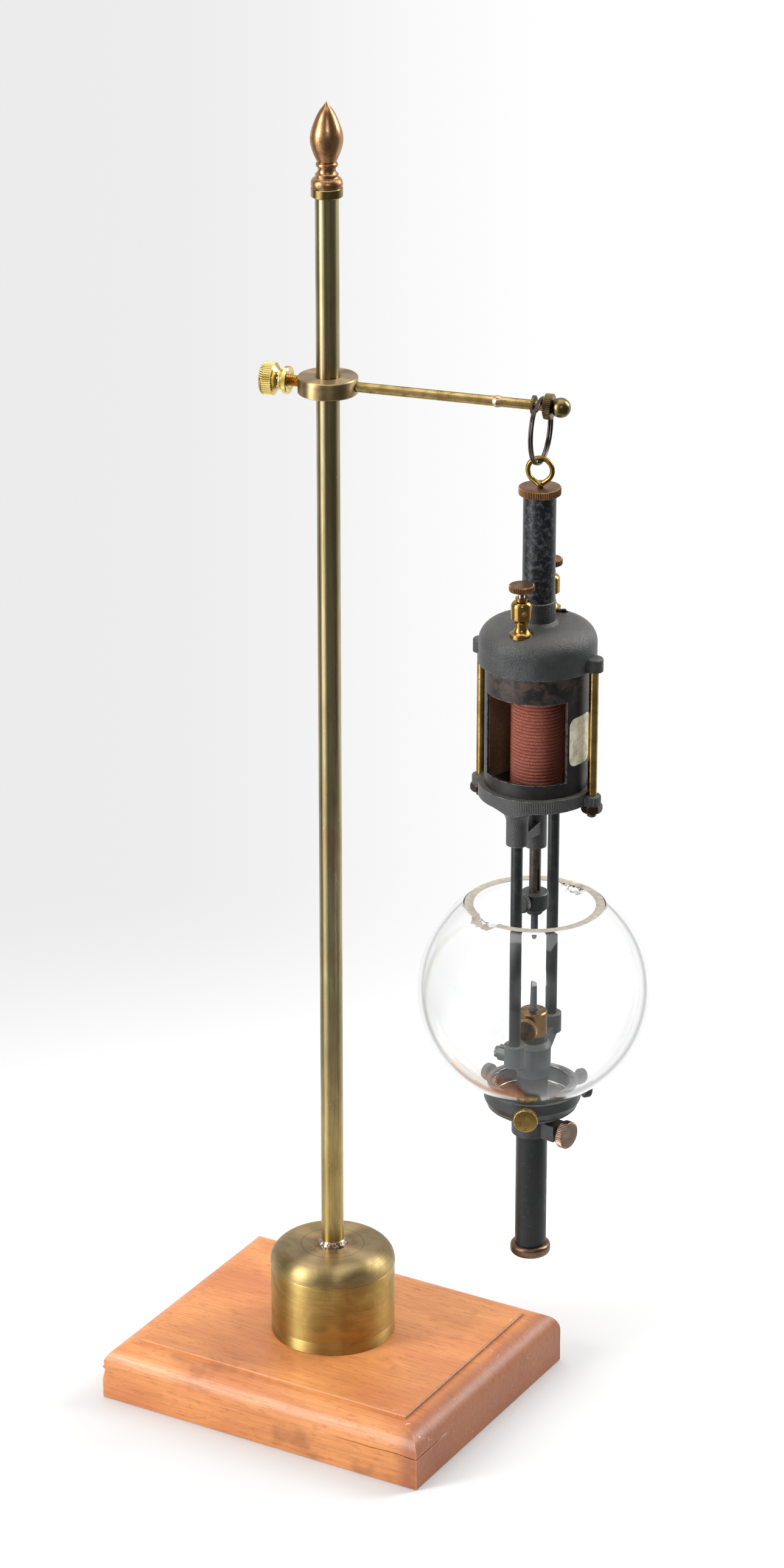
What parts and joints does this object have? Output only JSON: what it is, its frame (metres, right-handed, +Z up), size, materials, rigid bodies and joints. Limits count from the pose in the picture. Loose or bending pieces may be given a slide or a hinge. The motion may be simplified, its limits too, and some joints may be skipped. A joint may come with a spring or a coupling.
{
  "type": "hanging miniature arc lamp on a pillar stand",
  "caption": "Small solenoid-regulated carbon arc lamp with a clear glass globe, hung by a split ring from the adjustable arm of a brass pillar stand on a moulded wooden base.",
  "frame": {"origin": "centre of the wooden base's underside, on the pillar's axis", "axes": "+Z up along the pillar; +X along the base's long side, towards the end the arm points over; +Y towards the base's rear long side"},
  "size_m": [0.2124, 0.129, 0.567],
  "materials": {
    "cherry_wood": "satin varnish",
    "aged_brass": "aged, brushed",
    "bright_brass": "polished",
    "lacquered_brass": "golden lacquer",
    "bronze_patina": "brown patina",
    "iron_ballast": "as cast",
    "steel_hardware": "plain",
    "dark_steel_wire": "oil-blackened",
    "black_casting": "black crackle paint, worn",
    "black_tube": "black, worn",
    "rusty_housing": "black over brown oxide",
    "blackened_rod": "blackened",
    "red_cotton": "cotton-covered wire",
    "black_cotton": "cotton braid",
    "soft_iron": "turned",
    "ebonite": "ebonite, satin",
    "carbon": "graphite",
    "clear_glass": "clear, ground rim",
    "cream_paper": "aged",
    "bobbin_fibre": "brown fibre"
  },
  "bodies": {
    "stand": {"wooden_base": "cherry_wood", "base_drum": "aged_brass", "base_ballast": "iron_ballast", "base_cap": "aged_brass", "pillar_tube": "aged_brass", "pillar_ferrule": "aged_brass", "finial_collar": "aged_brass", "finial": "bronze_patina"},
    "liner": {"bracket_liner": "aged_brass"},
    "bracket": {"bracket_collar": "aged_brass", "arm_rod": "aged_brass", "arm_tip": "aged_brass", "arm_washer": "aged_brass", "arm_ball": "aged_brass"},
    "clamp_screw": {"clamp_stud": "aged_brass", "clamp_thumb_nut": "bright_brass"},
    "ring_nut": {"arm_nut": "aged_brass"},
    "ring": {"split_ring": "dark_steel_wire"},
    "hanger": {"lamp_eye": "aged_brass"},
    "lamp": {"top_cap": "bronze_patina", "top_tube": "black_tube", "top_casting": "black_casting", "binding_post_front": "lacquered_brass", "binding_post_rear": "lacquered_brass", "post_insulator": "ebonite", "post_nuts": "lacquered_brass", "lead_wires": "black_cotton", "housing_tube": "rusty_housing", "housing_label": "cream_paper", "coil_bobbin": "bobbin_fibre", "coil_winding": "red_cotton", "bottom_casting": "black_casting", "tie_rods": "lacquered_brass", "tie_rod_nuts": "bronze_patina", "side_rods": "blackened_rod", "yoke": "black_casting", "yoke_screw": "steel_hardware", "lower_carbon_holder": "bronze_patina", "holder_seat_ring": "black_casting", "lower_carbon": "carbon", "tail_tube": "black_tube"},
    "core": {"solenoid_core": "soft_iron", "clutch_ring": "soft_iron"},
    "feed": {"feed_rod": "blackened_rod", "upper_carbon_clamp": "black_casting", "upper_carbon": "carbon"},
    "upper_screw": {"upper_clamp_screw": "black_casting"},
    "lower_screw": {"lower_holder_screw": "bronze_patina"},
    "front_terminal_screw": {"binding_screw_front": "bronze_patina"},
    "rear_terminal_screw": {"binding_screw_rear": "bronze_patina"},
    "globe_carrier": {"gallery": "black_casting", "globe": "clear_glass"},
    "carrier_screw": {"gallery_screw": "bronze_patina"},
    "globe_screw_1": {"globe_screw_1": "bronze_patina"},
    "globe_screw_2": {"globe_screw_2": "bronze_patina"},
    "globe_screw_3": {"globe_screw_3": "bronze_patina"},
    "tail_cap": {"tail_cap": "bronze_patina"}
  },
  "joints": [
    {"name": "bracket_height", "type": "slide", "parent": "stand", "child": "liner", "axis": [0, 0, 1], "range_m": [-0.048, 0.07]},
    {"name": "bracket_swivel", "type": "hinge", "parent": "liner", "child": "bracket", "pos_m": [0, 0, 0.4518], "axis": [0, 0, 1], "continuous": true},
    {"name": "clamp_screw_turn", "type": "hinge", "parent": "bracket", "child": "clamp_screw", "pos_m": [0, 0, 0.4518], "axis": [-0.9799, -0.1994, 0], "range_deg": [0, 360]},
    {"name": "ring_nut_turn", "type": "hinge", "parent": "bracket", "child": "ring_nut", "pos_m": [0, 0, 0.4518], "axis": [0.9799, 0.1994, 0], "range_deg": [0, 360]},
    {"name": "ring_swing", "type": "hinge", "parent": "bracket", "child": "ring", "pos_m": [0.08672, 0.01764, 0.4518], "axis": [0.9799, 0.1994, 0], "range_deg": [-15, 15]},
    {"name": "lamp_swing", "type": "hinge", "parent": "ring", "child": "hanger", "pos_m": [0.08672, 0.01764, 0.42846], "axis": [-0.1994, 0.9799, 0], "range_deg": [-5, 5]},
    {"name": "lamp_swivel", "type": "hinge", "parent": "hanger", "child": "lamp", "pos_m": [0.08672, 0.01764, 0.4184], "axis": [0, 0, 1], "continuous": true},
    {"name": "front_terminal_screw_turn", "type": "hinge", "parent": "lamp", "child": "front_terminal_screw", "pos_m": [0.08755, 0.00187, 0.3804], "axis": [0, 0, 1], "range_deg": [0, 360]},
    {"name": "rear_terminal_screw_turn", "type": "hinge", "parent": "lamp", "child": "rear_terminal_screw", "pos_m": [0.08344, 0.0331, 0.3812], "axis": [0, 0, 1], "range_deg": [0, 360]},
    {"name": "core_lift", "type": "slide", "parent": "lamp", "child": "core", "axis": [0, 0, 1], "range_m": [0, 0.006]},
    {"name": "carbon_feed", "type": "slide", "parent": "lamp", "child": "feed", "axis": [0, 0, 1], "range_m": [-0.018, 0.018]},
    {"name": "upper_screw_turn", "type": "hinge", "parent": "feed", "child": "upper_screw", "pos_m": [0.08672, 0.01764, 0.2412], "axis": [-0.225, -0.9744, 0], "range_deg": [0, 360]},
    {"name": "lower_screw_turn", "type": "hinge", "parent": "lamp", "child": "lower_screw", "pos_m": [0.08672, 0.01764, 0.1846], "axis": [0.1392, -0.9903, 0], "range_deg": [0, 360]},
    {"name": "globe_lowering", "type": "slide", "parent": "lamp", "child": "globe_carrier", "axis": [0, 0, 1], "range_m": [-0.045, 0]},
    {"name": "carrier_screw_turn", "type": "hinge", "parent": "globe_carrier", "child": "carrier_screw", "pos_m": [0.08672, 0.01764, 0.1383], "axis": [0.9877, -0.1564, 0], "range_deg": [0, 360]},
    {"name": "globe_screw_1_turn", "type": "hinge", "parent": "globe_carrier", "child": "globe_screw_1", "pos_m": [0.08672, 0.01764, 0.1512], "axis": [0.3746, -0.9272, 0], "range_deg": [0, 360]},
    {"name": "globe_screw_2_turn", "type": "hinge", "parent": "globe_carrier", "child": "globe_screw_2", "pos_m": [0.08672, 0.01764, 0.1512], "axis": [0.6157, 0.788, 0], "range_deg": [0, 360]},
    {"name": "globe_screw_3_turn", "type": "hinge", "parent": "globe_carrier", "child": "globe_screw_3", "pos_m": [0.08672, 0.01764, 0.1512], "axis": [-0.9903, 0.1392, 0], "range_deg": [0, 360]},
    {"name": "tail_cap_turn", "type": "hinge", "parent": "lamp", "child": "tail_cap", "pos_m": [0.08672, 0.01764, 0.0797], "axis": [0, 0, 1], "range_deg": [0, 360]}
  ]
}
